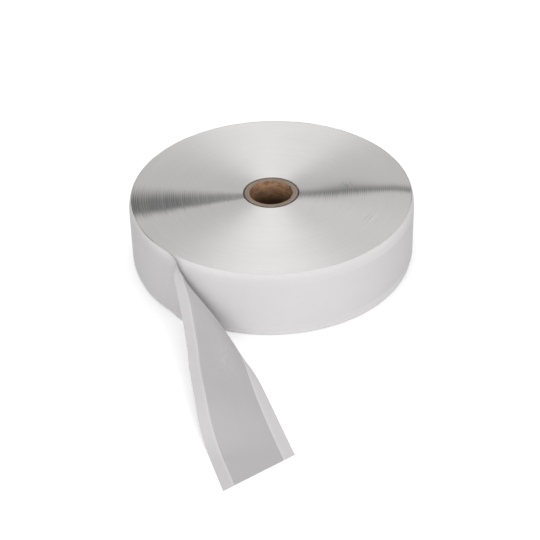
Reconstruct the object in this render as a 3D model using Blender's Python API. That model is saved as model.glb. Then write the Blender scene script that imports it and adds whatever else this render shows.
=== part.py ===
"""Roll of sealing tape, lying on its flat side with its loose end folded over and laid out in front.

Metres, +Z up. The origin is on the roll's axis, half way up the tape's width. The loose end lies
towards -Y. The tape is a pale carrier web with a grey sealing coat on its inner face, between two
bare fleece edges. It is wound on a thick board core.
"""

import math

import bmesh
import bpy
import numpy as np

# Tape web
TAPE_WIDTH = 0.125
CARRIER_THICKNESS = 0.0003
COAT_THICKNESS = 0.0004
FLEECE_EDGE = 0.020

# Wound roll
ROLL_DIAMETER = 0.500
EDGE_LEAN = 0.004

# Board core, from the bore outwards
CORE_BORE = 0.076
LINER_THICKNESS = 0.0009
BOARD_THICKNESS = 0.0018
BOARD_COUNT = 4
COVER_THICKNESS = 0.0009
CORE_SETBACK = 0.0005

# Tab that holds the tape's inner end on the core
TAB_THICKNESS = 0.0003
TAB_LENGTH = 0.060
TAB_HEIGHT = 0.100
TAB_ANGLE = math.radians(60)

# Clearance between two pieces that touch on the real roll
FIT_GAP = 0.0003

# Where the outer turn loosens, where it leaves the roll and how far it stands off there
LOOSE_ANGLE = math.radians(198)
LEAVE_ANGLE = math.radians(232.7)
LEAVE_SLACK = 0.0045
UNDERLAP = 0.050

# Plan of the loose end's bottom edge, as lengths along the tape from where it leaves the roll
TURN_ANGLE = math.radians(36.1)
TURN_RUN = 0.251

# Fold of the loose end. Its top edge starts to fold before the bottom edge leaves the roll. The
# crease crosses the tape's width in CREASE_RUN and reaches the bottom edge at FOLD_END.
FOLD_LEAD = 0.0216
LEAN_RUN = 0.393
CURL_ANGLE = math.radians(59.8)
CURL_PEAK = 0.0605
CREASE_RUN = 0.2085
BEND_WIDTH = 0.110
FOLD_END = 0.276
SWEEP_ANGLE = math.radians(40.4)
SWEEP_RUN = 0.1695

# Where the flat end lifts, and its slanted cut
LIFT_AT = 0.340
END_AT_BOTTOM_EDGE = 0.391
END_AT_TOP_EDGE = 0.432

# Fineness of the meshes
RING_STEPS = 96
CORE_STEPS = 60
TURN_STEPS = 104
FOLD_STEPS = 48
END_STEPS = 3
EDGE_COLUMNS = 3
FOLD_COLUMNS = 8
LEAN_SAMPLES = 48
PATH_STEP = 0.001

# Sizes worked out from the ones above
TAPE_THICKNESS = CARRIER_THICKNESS + FIT_GAP + COAT_THICKNESS
COAT_DEPTH = CARRIER_THICKNESS + FIT_GAP
ROLL_RADIUS = ROLL_DIAMETER / 2
PACK_RADIUS = ROLL_RADIUS - TAPE_THICKNESS - FIT_GAP
BORE_RADIUS = CORE_BORE / 2
CORE_RADIUS = (
    BORE_RADIUS
    + LINER_THICKNESS
    + BOARD_COUNT * (FIT_GAP + BOARD_THICKNESS)
    + FIT_GAP
    + COVER_THICKNESS
)
TAB_RADIUS = CORE_RADIUS + FIT_GAP
PACK_BORE_RADIUS = TAB_RADIUS + TAB_THICKNESS + FIT_GAP
HALF_WIDTH = TAPE_WIDTH / 2
TURN_START = -(FOLD_LEAD + 2 * math.pi * ROLL_RADIUS + UNDERLAP)
QUARTER_TURN = math.pi / 2

# Colours, roughness and metallic value of each finish
FINISHES = {
    "kraft liner": ((0.33, 0.22, 0.14, 1), 0.85, 0.0),
    "grey board": ((0.34, 0.28, 0.22, 1), 0.9, 0.0),
    "paper tab": ((0.75, 0.72, 0.62, 1), 0.7, 0.0),
    "wound edges": ((0.66, 0.66, 0.65, 1), 0.45, 0.0),
    "fleece carrier": ((0.78, 0.78, 0.77, 1), 0.6, 0.0),
    "sealing coat": ((0.47, 0.47, 0.47, 1), 0.5, 0.0),
}


# Helpers

def clear_scene():
    for obj in list(bpy.data.objects):
        bpy.data.objects.remove(obj, do_unlink=True)


def finish(name):
    """The named finish as a Principled material, made once."""
    material = bpy.data.materials.get(name)
    if material is None:
        colour, roughness, metallic = FINISHES[name]
        material = bpy.data.materials.new(name)
        material.use_nodes = True
        shader = material.node_tree.nodes["Principled BSDF"]
        shader.inputs["Base Color"].default_value = colour
        shader.inputs["Roughness"].default_value = roughness
        shader.inputs["Metallic"].default_value = metallic
        material.diffuse_color = colour
    return material


def add_piece(name, bm, finish_name):
    """Turn a closed bmesh into an object with its faces pointing out."""
    bmesh.ops.recalc_face_normals(bm, faces=bm.faces)
    mesh = bpy.data.meshes.new(name)
    bm.to_mesh(mesh)
    bm.free()
    mesh.materials.append(finish(finish_name))
    mesh.shade_smooth()
    mesh.set_sharp_from_angle(angle=math.radians(35))
    piece = bpy.data.objects.new(name, mesh)
    bpy.context.collection.objects.link(piece)
    return piece


def turned_ring(name, outline, steps, finish_name):
    """A closed outline of (radius, height) points, spun a full turn about the roll's axis."""
    bm = bmesh.new()
    points = [bm.verts.new((radius, 0, height)) for radius, height in outline]
    sides = [bm.edges.new((a, b)) for a, b in zip(points, points[1:] + points[:1])]
    bmesh.ops.spin(
        bm,
        geom=points + sides,
        cent=(0, 0, 0),
        axis=(0, 0, 1),
        angle=2 * math.pi,
        steps=steps,
        use_merge=True,
    )
    return add_piece(name, bm, finish_name)


def tube(name, inner, outer, half_height, steps, finish_name):
    """A plain tube about the roll's axis."""
    outline = [
        (inner, -half_height),
        (outer, -half_height),
        (outer, half_height),
        (inner, half_height),
    ]
    return turned_ring(name, outline, steps, finish_name)


def slab(name, near, far, finish_name):
    """A closed sheet between two grids of points, each rows x columns x 3.

    Every cell is split along the same diagonal on both sides, so stacked sheets stay parallel.
    """
    rows, columns = near.shape[:2]
    bm = bmesh.new()
    sides = [
        [[bm.verts.new(point) for point in row] for row in grid.tolist()]
        for grid in (near, far)
    ]
    for side in sides:
        for i in range(rows - 1):
            for j in range(columns - 1):
                a, b = side[i][j], side[i + 1][j]
                c, d = side[i + 1][j + 1], side[i][j + 1]
                bm.faces.new((a, b, c))
                bm.faces.new((a, c, d))
    border = [(i, 0) for i in range(rows)]
    border += [(rows - 1, j) for j in range(1, columns)]
    border += [(i, columns - 1) for i in range(rows - 2, -1, -1)]
    border += [(0, j) for j in range(columns - 2, 0, -1)]
    for (i, j), (k, m) in zip(border, border[1:] + border[:1]):
        bm.faces.new((sides[0][i][j], sides[0][k][m], sides[1][k][m]))
        bm.faces.new((sides[0][i][j], sides[1][k][m], sides[1][i][j]))
    return add_piece(name, bm, finish_name)


# Shape of the tape

def ease(x):
    """Rises smoothly from 0 to 1 as x does."""
    x = np.clip(x, 0, 1)
    return x * x * (3 - 2 * x)


def hump(x, peak, end):
    """Rises smoothly from 0 at 0 to 1 at the peak, and falls back to 0 at the end."""
    return ease(x / peak) * (1 - ease((x - peak) / (end - peak)))


def looseness(along):
    """0 where the outer turn lies on the roll, and 1 from where it leaves."""
    angle = LEAVE_ANGLE + along / ROLL_RADIUS
    return ease((angle - LOOSE_ANGLE) / (LEAVE_ANGLE - LOOSE_ANGLE))


def edge_lean(across):
    """How far a wound turn's fleece edge leans in over the roll, at a place across the tape."""
    past_coat = np.abs(across - HALF_WIDTH) - (HALF_WIDTH - FLEECE_EDGE)
    return EDGE_LEAN * (np.clip(past_coat, 0, None) / FLEECE_EDGE) ** 2


def bottom_edge(along):
    """Plan position and heading of the outer face's bottom edge, at lengths along the tape.

    Before 0 it is a circle whose radius grows by the slack. After 0 it runs straight on, and its
    heading then turns away from the roll.
    """
    start_heading = LEAVE_ANGLE + QUARTER_TURN
    stations = np.arange(0, END_AT_TOP_EDGE + 2 * PATH_STEP, PATH_STEP)
    headings = start_heading - TURN_ANGLE * ease(stations / TURN_RUN)
    middle = (headings[1:] + headings[:-1]) / 2
    radius = ROLL_RADIUS + LEAVE_SLACK
    free_x = radius * math.cos(LEAVE_ANGLE) + PATH_STEP * np.append(0, np.cumsum(np.cos(middle)))
    free_y = radius * math.sin(LEAVE_ANGLE) + PATH_STEP * np.append(0, np.cumsum(np.sin(middle)))
    angle = LEAVE_ANGLE + along / ROLL_RADIUS
    wound = ROLL_RADIUS + LEAVE_SLACK * looseness(along)
    on_roll = along < 0
    x = np.where(on_roll, wound * np.cos(angle), np.interp(along, stations, free_x))
    y = np.where(on_roll, wound * np.sin(angle), np.interp(along, stations, free_y))
    heading = np.where(on_roll, angle + QUARTER_TURN, np.interp(along, stations, headings))
    return x, y, heading


def outer_face(along, across):
    """Points of the tape's outer face, at lengths along it and across it from its bottom edge.

    A cross-section stands upright below the crease and leans outwards above it, through a bend.
    The crease starts at the top edge and comes down to the bottom edge as the tape runs on, so
    the tape turns over like a lapel. The lean above the crease first curls past the horizontal
    and ends level. The fold sweeps back along the tape at first, and then points square to it.
    The point is the sum of the small steps up and out along the section.
    """
    x, y, heading = bottom_edge(along)
    square = heading - QUARTER_TURN
    swept = square - SWEEP_ANGLE * (1 - ease(along / SWEEP_RUN))
    folded = along + FOLD_LEAD
    full_lean = QUARTER_TURN * ease(folded / LEAN_RUN)
    full_lean = full_lean + CURL_ANGLE * hump(folded, CURL_PEAK, FOLD_LEAD + FOLD_END)
    crease = TAPE_WIDTH * (FOLD_END - along) / CREASE_RUN
    parts = (np.arange(LEAN_SAMPLES) + 0.5) / LEAN_SAMPLES
    place = across[..., None] * parts
    lean = full_lean[..., None] * ease((place - crease[..., None]) / BEND_WIDTH + 1)
    out = across * np.sin(lean).mean(axis=-1)
    up = across * np.cos(lean).mean(axis=-1)
    tucked = edge_lean(across) * (1 - looseness(along))
    x = x + out * np.cos(swept) - tucked * np.cos(square)
    y = y + out * np.sin(swept) - tucked * np.sin(square)
    return np.stack((x, y, up - HALF_WIDTH), -1)


def inward_normals(along, across):
    """Unit normals of the outer face that point into the tape, from small steps along and across."""
    step = PATH_STEP / 10
    run = outer_face(along + step, across) - outer_face(along - step, across)
    rise = outer_face(along, across + step) - outer_face(along, across - step)
    normal = np.cross(rise, run)
    return normal / np.linalg.norm(normal, axis=-1, keepdims=True)


def tape_layer(name, along, across, depth, thickness, finish_name):
    """One layer of the tape over a grid of stations, its outer side at a depth in the tape."""
    face = outer_face(along, across)
    inward = inward_normals(along, across)
    return slab(name, face + depth * inward, face + (depth + thickness) * inward, finish_name)


def columns_across(middle_columns):
    """Places across the tape: a few over each fleece edge, and the given number over the coat."""
    low = np.linspace(0, FLEECE_EDGE, EDGE_COLUMNS + 1)
    middle = np.linspace(FLEECE_EDGE, TAPE_WIDTH - FLEECE_EDGE, middle_columns + 1)
    return np.concatenate((low, middle[1:-1], TAPE_WIDTH - low[::-1]))


def tape_stretch(name, start, end_of, steps, middle_columns):
    """The carrier and the coat of one stretch of the tape, from start to end_of(across)."""
    across = columns_across(middle_columns)
    share = np.linspace(0, 1, steps + 1)[:, None]
    along = start + share * (end_of(across) - start)[None, :]
    across = np.broadcast_to(across, along.shape)
    coated = slice(EDGE_COLUMNS, along.shape[1] - EDGE_COLUMNS)
    carrier = tape_layer(
        name + "_carrier", along, across, 0, CARRIER_THICKNESS, "fleece carrier"
    )
    coat = tape_layer(
        name + "_coating",
        along[:, coated],
        across[:, coated],
        COAT_DEPTH,
        COAT_THICKNESS,
        "sealing coat",
    )
    return [carrier, coat]


def place_on_tape(along, across, depth):
    """One point in the tape, at a length along it, a place across it and a depth in it."""
    along, across = np.array([along]), np.array([across])
    point = outer_face(along, across) + depth * inward_normals(along, across)
    return point[0]


# Pieces

def make_core():
    """Liner, board plies and cover, each a tube with a small gap to the next."""
    half_height = HALF_WIDTH - CORE_SETBACK
    plies = [("core_liner_ply", LINER_THICKNESS, "kraft liner")]
    for i in range(BOARD_COUNT):
        plies.append((f"core_board_ply_{i + 1}", BOARD_THICKNESS, "grey board"))
    plies.append(("core_cover_ply", COVER_THICKNESS, "kraft liner"))
    inner = BORE_RADIUS
    for name, thickness, finish_name in plies:
        tube(name, inner, inner + thickness, half_height, CORE_STEPS, finish_name)
        inner += thickness + FIT_GAP


def make_starter_tab():
    """A curved tab on the core, under the first turn."""
    half_arc = TAB_LENGTH / TAB_RADIUS / 2
    angles = TAB_ANGLE + np.linspace(-half_arc, half_arc, 13)[:, None]
    heights = np.array([-TAB_HEIGHT / 2, TAB_HEIGHT / 2])[None, :]
    grids = [
        np.stack(
            np.broadcast_arrays(radius * np.cos(angles), radius * np.sin(angles), heights), -1
        )
        for radius in (TAB_RADIUS, TAB_RADIUS + TAB_THICKNESS)
    ]
    slab("starter_tab", *grids, "paper tab")


def make_wound_tape():
    """All the turns under the outer one, as one ring whose rim leans in as the outer turn does."""
    across = columns_across(1)
    rim = list(zip(PACK_RADIUS - edge_lean(across), across - HALF_WIDTH))
    bore = [(PACK_BORE_RADIUS, HALF_WIDTH), (PACK_BORE_RADIUS, -HALF_WIDTH)]
    turned_ring("wound_tape", rim + bore, RING_STEPS, "wound edges")


def axis_at(name, point, carrier):
    """An empty on a joint's axis, parented to the empty that carries it."""
    empty = bpy.data.objects.new(name, None)
    empty.empty_display_size = FLEECE_EDGE
    bpy.context.collection.objects.link(empty)
    empty.parent = carrier
    carried_at = np.zeros(3) if carrier is None else np.array(carrier["place"])
    empty.location = np.array(point) - carried_at
    empty["place"] = [float(value) for value in point]
    return empty


def hang_on(axis, pieces):
    """Give pieces the axis as their parent and origin, and leave them where they are."""
    shift = np.array(axis["place"])
    for piece in pieces:
        points = np.empty(len(piece.data.vertices) * 3, np.float32)
        piece.data.vertices.foreach_get("co", points)
        points = points.reshape(-1, 3) - shift.astype(np.float32)
        piece.data.vertices.foreach_set("co", points.ravel())
        piece.parent = axis


def make_free_tape():
    """The outer turn, the fold and the flat end, each on its joint's axis."""
    half_gap = FIT_GAP / 2
    unwind = axis_at("unwind_axis", (0, 0, 0), None)
    swing_point = place_on_tape(-FOLD_LEAD, 0, 0)
    swing = axis_at("swing_axis", (swing_point[0], swing_point[1], 0), unwind)
    lift = axis_at("lift_axis", place_on_tape(LIFT_AT, HALF_WIDTH, TAPE_THICKNESS), swing)

    def cut_square(along):
        return lambda across: np.full_like(across, along)

    def cut_slanted(across):
        slant = END_AT_TOP_EDGE - END_AT_BOTTOM_EDGE
        return END_AT_BOTTOM_EDGE + slant * across / TAPE_WIDTH

    turn_end = cut_square(-FOLD_LEAD - half_gap)
    fold_end = cut_square(LIFT_AT - half_gap)
    fold_start = -FOLD_LEAD + half_gap
    outer_turn = tape_stretch("outer_turn", TURN_START, turn_end, TURN_STEPS, 1)
    fold = tape_stretch("tail_fold", fold_start, fold_end, FOLD_STEPS, FOLD_COLUMNS)
    end = tape_stretch("tail_end", LIFT_AT + half_gap, cut_slanted, END_STEPS, 2)
    hang_on(unwind, outer_turn)
    hang_on(swing, fold)
    hang_on(lift, end)


def lift_axis_direction():
    """Unit vector across the tape's coated side where the flat end lifts, from its bottom edge."""
    bottom, top = (place_on_tape(LIFT_AT, across, TAPE_THICKNESS) for across in (0, TAPE_WIDTH))
    return (top - bottom) / np.linalg.norm(top - bottom)


def least_gap_to_itself():
    """Smallest clear gap between the outer turn's start and the stretch that lifts over it."""
    start = np.linspace(TURN_START, TURN_START + 2 * UNDERLAP, 141)
    last = np.linspace(-2 * UNDERLAP, UNDERLAP, 421)
    heights = np.linspace(0, TAPE_WIDTH, 11)
    below = outer_face(*np.meshgrid(start, heights)).reshape(-1, 1, 3)
    grid = np.meshgrid(last, heights)
    above = outer_face(*grid) + TAPE_THICKNESS * inward_normals(*grid)
    apart = np.linalg.norm(below - above.reshape(1, -1, 3), axis=-1)
    return apart.min()


clear_scene()
make_core()
make_starter_tab()
make_wound_tape()
make_free_tape()

print("least gap of the outer turn to itself, mm:", round(least_gap_to_itself() * 1000, 2))
print("swing axis at", place_on_tape(-FOLD_LEAD, 0, 0).round(5))
print("lift axis at", place_on_tape(LIFT_AT, HALF_WIDTH, TAPE_THICKNESS).round(5))
print("lift axis along", lift_axis_direction().round(5))
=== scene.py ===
# %% [markdown]
# # A roll of sealing tape
#
# The object is a big roll of pale sealing tape lying on its side face. Its loose end comes off the
# roll at the front, turns over like the lapel of a coat and lies flat, so that the grey coat and the
# two bare fleece edges show. A thick board core is in the middle.
#
# The solid model of the roll is already there: it fixes every size and every joint. This notebook
# gives it its looks. Each piece is a surface worked out as a formula on a grid of points, because a
# wound tape is a very regular thing: one strip, bent by a few simple rules.

# %% The solid model as a fixed frame
import math

import bpy
import numpy as np
from mathutils import Matrix, Vector


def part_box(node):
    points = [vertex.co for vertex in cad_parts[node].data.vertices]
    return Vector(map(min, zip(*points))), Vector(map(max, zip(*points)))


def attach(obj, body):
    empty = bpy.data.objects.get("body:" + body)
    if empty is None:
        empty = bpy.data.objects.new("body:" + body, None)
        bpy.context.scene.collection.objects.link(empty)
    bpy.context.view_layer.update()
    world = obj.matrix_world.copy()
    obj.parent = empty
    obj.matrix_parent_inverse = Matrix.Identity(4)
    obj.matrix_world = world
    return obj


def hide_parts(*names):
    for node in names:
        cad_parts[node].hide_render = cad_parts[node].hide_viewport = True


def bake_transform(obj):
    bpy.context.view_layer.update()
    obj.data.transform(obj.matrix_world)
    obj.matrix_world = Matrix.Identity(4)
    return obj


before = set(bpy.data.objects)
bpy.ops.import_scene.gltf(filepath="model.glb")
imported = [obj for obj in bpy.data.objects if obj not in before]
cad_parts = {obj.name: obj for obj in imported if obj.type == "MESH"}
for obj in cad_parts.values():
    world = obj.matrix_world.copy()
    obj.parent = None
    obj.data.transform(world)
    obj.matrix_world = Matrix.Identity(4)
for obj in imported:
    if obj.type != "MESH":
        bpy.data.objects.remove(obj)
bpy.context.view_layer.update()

# %% [markdown]
# ## Sizes
#
# The tape is 125 mm wide. It is a thin white carrier of fleece, with a grey sealing coat on its
# inner face. The coat stops 20 mm short of both edges. The roll is 500 mm across, on a core with a
# bore of 76 mm. The solids have the same sizes, so the sizes that can be read back from them are
# compared below, and the script would show at once if the two had drifted apart.

# %% Sizes of the tape, the roll and the core, in metres
TAPE_WIDTH = 0.125
CARRIER_THICKNESS = 0.0003
TAPE_THICKNESS = 0.001
FLEECE_EDGE = 0.020
ROLL_RADIUS = 0.250
EDGE_LEAN = 0.004
FIT_GAP = 0.0003
PACK_RADIUS = ROLL_RADIUS - TAPE_THICKNESS - FIT_GAP
HALF_WIDTH = TAPE_WIDTH / 2
COAT_HALF_WIDTH = HALF_WIDTH - FLEECE_EDGE
CORE_BORE_RADIUS = 0.038

pack_low, pack_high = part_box("wound_tape")
print("pack radius", round(pack_high.x, 4), "should be", PACK_RADIUS)
print("tape width", round(pack_high.z - pack_low.z, 4), "should be", TAPE_WIDTH)

# %% [markdown]
# ## The camera
#
# The picture was taken from the front and above, from nearly three metres away with a long lens, so
# the roll shows little perspective. The camera stands in front of the roll's centre and looks down a
# little below it, which puts the roll in the upper half of the picture and the loose end in the
# lower half. It is also turned about its own line of sight by a degree and a half.

# %% Camera at the photograph's view
SENSOR_WIDTH = 36.0
FOCAL_LENGTH = 102.96
CAMERA_PLACE = (-0.0004, -2.2802, 1.5367)
LOOKS_DOWN = math.radians(35.77)
LOOKS_RIGHT = math.radians(-0.13)
ROLLED = math.radians(1.468)

camera_data = bpy.data.cameras.new("camera")
camera_data.sensor_width = SENSOR_WIDTH
camera_data.lens = FOCAL_LENGTH
camera = bpy.data.objects.new("camera", camera_data)
turn_to_side = Matrix.Rotation(-LOOKS_RIGHT, 3, "Z")
tip_down = Matrix.Rotation(math.pi / 2 - LOOKS_DOWN, 3, "X")
roll_over = Matrix.Rotation(-ROLLED, 3, "Z")
camera.location = CAMERA_PLACE
camera.rotation_euler = (turn_to_side @ tip_down @ roll_over).to_euler()
bpy.context.scene.collection.objects.link(camera)
bpy.context.scene.camera = camera
print("camera is", round(Vector(CAMERA_PLACE).length, 2), "m from the roll's centre")

# %% [markdown]
# ## Writing materials as sums
#
# A material in Blender is a graph of nodes. Wired by hand it takes many lines, and its meaning gets
# lost. Here a small class wraps one output of a node. Adding or multiplying two of them adds the
# Math node that does it, so a finish can be written as the sum that it is.

# %% One class for all material sums
class Wire:
    """One output of a node. Arithmetic on it adds Math nodes, and node() adds any other kind."""

    def __init__(self, tree, socket=None):
        self.tree, self.socket = tree, socket

    def node(self, kind, settings, inputs, output=0):
        """Add a node: settings first, then a value or a wire for each input by name or number."""
        node = self.tree.nodes.new(kind)
        for name, value in settings.items():
            setattr(node, name, value)
        for key, value in inputs.items():
            if isinstance(value, Wire):
                self.tree.links.new(value.socket, node.inputs[key])
            else:
                node.inputs[key].default_value = value
        return Wire(self.tree, node.outputs[output])

    def other(self, output):
        """Another output of the node that this wire comes from."""
        return Wire(self.tree, self.socket.node.outputs[output])

    def maths(self, operation, *values):
        """The Math node that does this operation on the values."""
        return self.node("ShaderNodeMath", {"operation": operation}, dict(enumerate(values)))

    def __add__(self, value):
        return self.maths("ADD", self, value)

    def __sub__(self, value):
        return self.maths("SUBTRACT", self, value)

    def __rsub__(self, value):
        return self.maths("SUBTRACT", value, self)

    def __mul__(self, value):
        return self.maths("MULTIPLY", self, value)

    def __truediv__(self, value):
        return self.maths("DIVIDE", self, value)

    def __pow__(self, value):
        return self.maths("POWER", self, value)

    __radd__ = __add__
    __rmul__ = __mul__


print("materials can now be written as sums")

# %% [markdown]
# A finish is one Principled shader. The helper below makes the material, hands over a first wire to
# build on, and at the end connects what varies over the surface: the colour, the roughness and a
# bump. A number that is the same all over is set on the shader's own socket.

# %% Helpers shared by all finishes
def start_finish(name):
    """A new material, the wire to start its sums from, and its Principled shader."""
    material = bpy.data.materials.new(name)
    material.use_nodes = True
    tree = material.node_tree
    return material, Wire(tree), tree.nodes["Principled BSDF"]


def connect(shader, wires):
    """Link wires to the shader's inputs of those names."""
    for name, wire in wires.items():
        wire.tree.links.new(wire.socket, shader.inputs[name])


def noise(wire, vector, scale, detail=3.0, roughness=0.5):
    """Smooth noise from 0 to 1, with a mean of about a half."""
    inputs = {"Vector": vector, "Scale": scale, "Detail": detail, "Roughness": roughness}
    return wire.node("ShaderNodeTexNoise", {}, inputs)


def step_up(value, low, high):
    """0 below low, 1 above high, and a smooth rise between the two."""
    inputs = {"Value": value, "From Min": low, "From Max": high}
    return value.node("ShaderNodeMapRange", {"interpolation_type": "SMOOTHSTEP"}, inputs)


def bell(value, centre, width):
    """1 where the value is at the centre, and a bell curve of that width to either side."""
    apart = (value - centre) / width
    return value.maths("EXPONENT", apart * apart * -1.0)


def blend_colours(factor, first, second):
    """The first colour where the factor is 0, and the second where it is 1."""
    settings = {"data_type": "RGBA", "clamp_factor": True}
    return factor.node("ShaderNodeMix", settings, {0: factor, 6: first, 7: second}, output=2)


def scaled_colour(colour, amount):
    """A colour made lighter or darker by an amount that varies over the surface."""
    settings = {"operation": "SCALE"}
    return amount.node("ShaderNodeVectorMath", settings, {0: colour, "Scale": amount})


def vector_of(x, y, z):
    """Three values as one vector."""
    first = next(value for value in (x, y, z) if isinstance(value, Wire))
    return first.node("ShaderNodeCombineXYZ", {}, {0: x, 1: y, 2: z})


def bumped(height, distance):
    """A normal bent by a height from 0 to 1, where 1 stands proud by the distance in metres."""
    return height.node("ShaderNodeBump", {}, {"Height": height, "Distance": distance})


def object_place(start):
    """The object's own coordinates: as a vector, as x and y, and the distance from the roll's axis."""
    place = start.node("ShaderNodeTexCoord", {}, {}, "Object")
    x = start.node("ShaderNodeSeparateXYZ", {}, {0: place}, "X")
    y = x.other("Y")
    return place, x, y, (x * x + y * y) ** 0.5


print("helpers for finishes are ready")

# %% [markdown]
# ## From a grid of points to a piece
#
# Every new piece is a closed skin over a grid. A ring closes on itself both ways, like a tyre. A
# sheet has a near side, a far side and a narrow border between them. Both need only the corner
# numbers of their cells, which numpy gives for the whole grid at once. The volume that the skin
# encloses tells which way its faces point: it comes out negative if the skin is inside out.

# %% Grids into meshes
SHARP_FROM = math.radians(40)


def cells_of(rows, columns, closed=False):
    """Corner numbers of a grid's cells. A closed one joins its last row and column to its first."""
    open_ends = 0 if closed else 1
    i = np.arange(rows - open_ends)[:, None]
    j = np.arange(columns - open_ends)[None, :]
    k, m = (i + 1) % rows, (j + 1) % columns
    corners = (i * columns + j, k * columns + j, k * columns + m, i * columns + m)
    return np.stack(np.broadcast_arrays(*corners), -1).reshape(-1, 4)


def enclosed_volume(points, cells):
    """Sum of the thin pyramids from the origin to every half cell."""
    a, b, c, d = (points[cells[:, n]] for n in range(4))
    halves = np.cross(a, b) * c + np.cross(a, c) * d
    return halves.sum() / 6


def new_piece(name, points, cells, finish, places=None, coated=None):
    """A smooth-shaded object at the origin.

    Places are the points' positions on the flat tape, and coated is 1 for those on its coated side.
    """
    points = points.reshape(-1, 3)
    volume = enclosed_volume(points, cells)
    if volume < 0:
        cells = cells[:, ::-1]
    mesh = bpy.data.meshes.new(name)
    mesh.from_pydata(points.tolist(), [], cells.tolist())
    mesh.shade_smooth()
    mesh.set_sharp_from_angle(angle=SHARP_FROM)
    mesh.materials.append(finish)
    if places is not None:
        corners = np.empty(len(mesh.loops), np.int32)
        mesh.loops.foreach_get("vertex_index", corners)
        flat = mesh.uv_layers.new(name="flat_tape")
        flat.data.foreach_set("uv", places.reshape(-1, 2)[corners].astype(np.float32).ravel())
    if coated is not None:
        side = mesh.attributes.new("coated_side", "FLOAT", "POINT")
        side.data.foreach_set("value", coated.astype(np.float32))
    piece = bpy.data.objects.new(name, mesh)
    bpy.context.scene.collection.objects.link(piece)
    print(f"{name}: {2 * len(cells)} triangles, {abs(volume) * 1e6:.1f} cubic centimetres")
    return piece


def ring_piece(name, points, finish):
    """A closed ring from a grid of points, rows round the axis and columns round the section."""
    rows, columns = points.shape[:2]
    return new_piece(name, points, cells_of(rows, columns, closed=True), finish)


def border_of(rows, columns):
    """Numbers of a grid's outermost points, in order round it."""
    first = np.arange(columns)
    last = (rows - 1) * columns + first
    right = np.arange(1, rows - 1) * columns + columns - 1
    left = np.arange(rows - 2, 0, -1) * columns
    return np.concatenate((first, right, last[::-1], left))


def sheet_piece(name, near, far, finish, places=None):
    """A closed sheet between two grids of points of the same size."""
    rows, columns = near.shape[:2]
    count = rows * columns
    cells = cells_of(rows, columns)
    edge = border_of(rows, columns)
    after = np.roll(edge, -1)
    border = np.stack((edge, after, after + count, edge + count), -1)
    all_cells = np.concatenate((cells, cells[:, ::-1] + count, border))
    if places is not None:
        places = np.concatenate((places, places))
    coated = np.repeat((0, 1), count)
    return new_piece(name, np.concatenate((near, far)), all_cells, finish, places, coated)


print("grids can now be turned into pieces")

# %% [markdown]
# ## Floor and light
#
# The roll stands on a plain white floor. A floor that only reflects light comes out light grey, so
# the floor also shines a little, but only towards the camera and in reflections. It gives no extra
# light to the roll, and it still shows the roll's soft shadow.
#
# The light is that of a small studio: a wide soft lamp above, another in front, and an even sky that
# gives the two sides a little. The wound edges of the tape shine somewhat like brushed metal, so
# this makes them bright towards the front and the back, and darker towards the two sides.

# %% Floor
FLOOR_SIZE = 12.0
FLOOR_CLEARANCE = 0.0005
FLOOR_GREY = 0.80
FLOOR_GLOW = 0.42

floor_finish, start, floor_shader = start_finish("white_floor")
floor_shader.inputs["Base Color"].default_value = (FLOOR_GREY, FLOOR_GREY, FLOOR_GREY, 1)
floor_shader.inputs["Roughness"].default_value = 0.9
floor_shader.inputs["Specular IOR Level"].default_value = 0.0
rays = start.node("ShaderNodeLightPath", {}, {}, "Is Camera Ray")
seen = rays.maths("MAXIMUM", rays, rays.other("Is Glossy Ray"))
seen = seen.maths("MAXIMUM", seen, rays.other("Is Transmission Ray"))
floor_shader.inputs["Emission Strength"].default_value = 1.0
connect(floor_shader, {"Emission Color": scaled_colour((1, 1, 1), seen * FLOOR_GLOW)})

half_floor = FLOOR_SIZE / 2
floor_height = -HALF_WIDTH - FLOOR_CLEARANCE
corners = [(-1, -1), (1, -1), (1, 1), (-1, 1)]
floor_mesh = bpy.data.meshes.new("floor")
floor_corners = [(x * half_floor, y * half_floor, floor_height) for x, y in corners]
floor_mesh.from_pydata(floor_corners, [], [(0, 1, 2, 3)])
floor_mesh.materials.append(floor_finish)
floor = bpy.data.objects.new("floor", floor_mesh)
bpy.context.scene.collection.objects.link(floor)
print("floor at", round(floor_height, 4))

# %% Lamps and sky
SKY_STRENGTH = 0.38

scene = bpy.context.scene
scene.view_settings.view_transform = "Standard"
world = bpy.data.worlds.new("soft_sky")
world.use_nodes = True
world.node_tree.nodes["Background"].inputs["Color"].default_value = (1, 1, 1, 1)
world.node_tree.nodes["Background"].inputs["Strength"].default_value = SKY_STRENGTH
scene.world = world


def soft_lamp(name, place, size, watts):
    """A square lamp of that size that faces the roll's centre."""
    data = bpy.data.lights.new(name, "AREA")
    data.shape = "RECTANGLE"
    data.size, data.size_y = size
    data.energy = watts
    lamp = bpy.data.objects.new(name, data)
    lamp.location = place
    lamp.rotation_euler = (-Vector(place)).to_track_quat("-Z", "Y").to_euler()
    scene.collection.objects.link(lamp)
    print(f"{name}: {watts} W, {Vector(place).length:.2f} m away")


soft_lamp("lamp_above", (0.0, 0.5, 2.6), (1.6, 2.6), 35.5)
soft_lamp("lamp_front", (0.2, -3.2, 1.0), (4.0, 1.9), 60)

# %% [markdown]
# ## The shape of the tape
#
# The whole tape is one strip. A place on it is given by two lengths: how far along the tape it is
# from the spot where the tape leaves the roll, and how far across from its bottom edge. The
# functions below bend the flat strip into its place on the roll, through the fold and out over the
# floor. The solids were bent by the same rules, so what is made here lies where they lie. A cloth
# simulation could fold the tape as well, but it would not settle exactly on the solid, and the
# functions also keep each point's place on the flat strip, which the finishes need later.
#
# On the roll the bottom edge is a circle. The outer turn comes away a little before it leaves, so
# the circle grows by a small slack. After that the edge runs straight on and then turns away.

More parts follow.
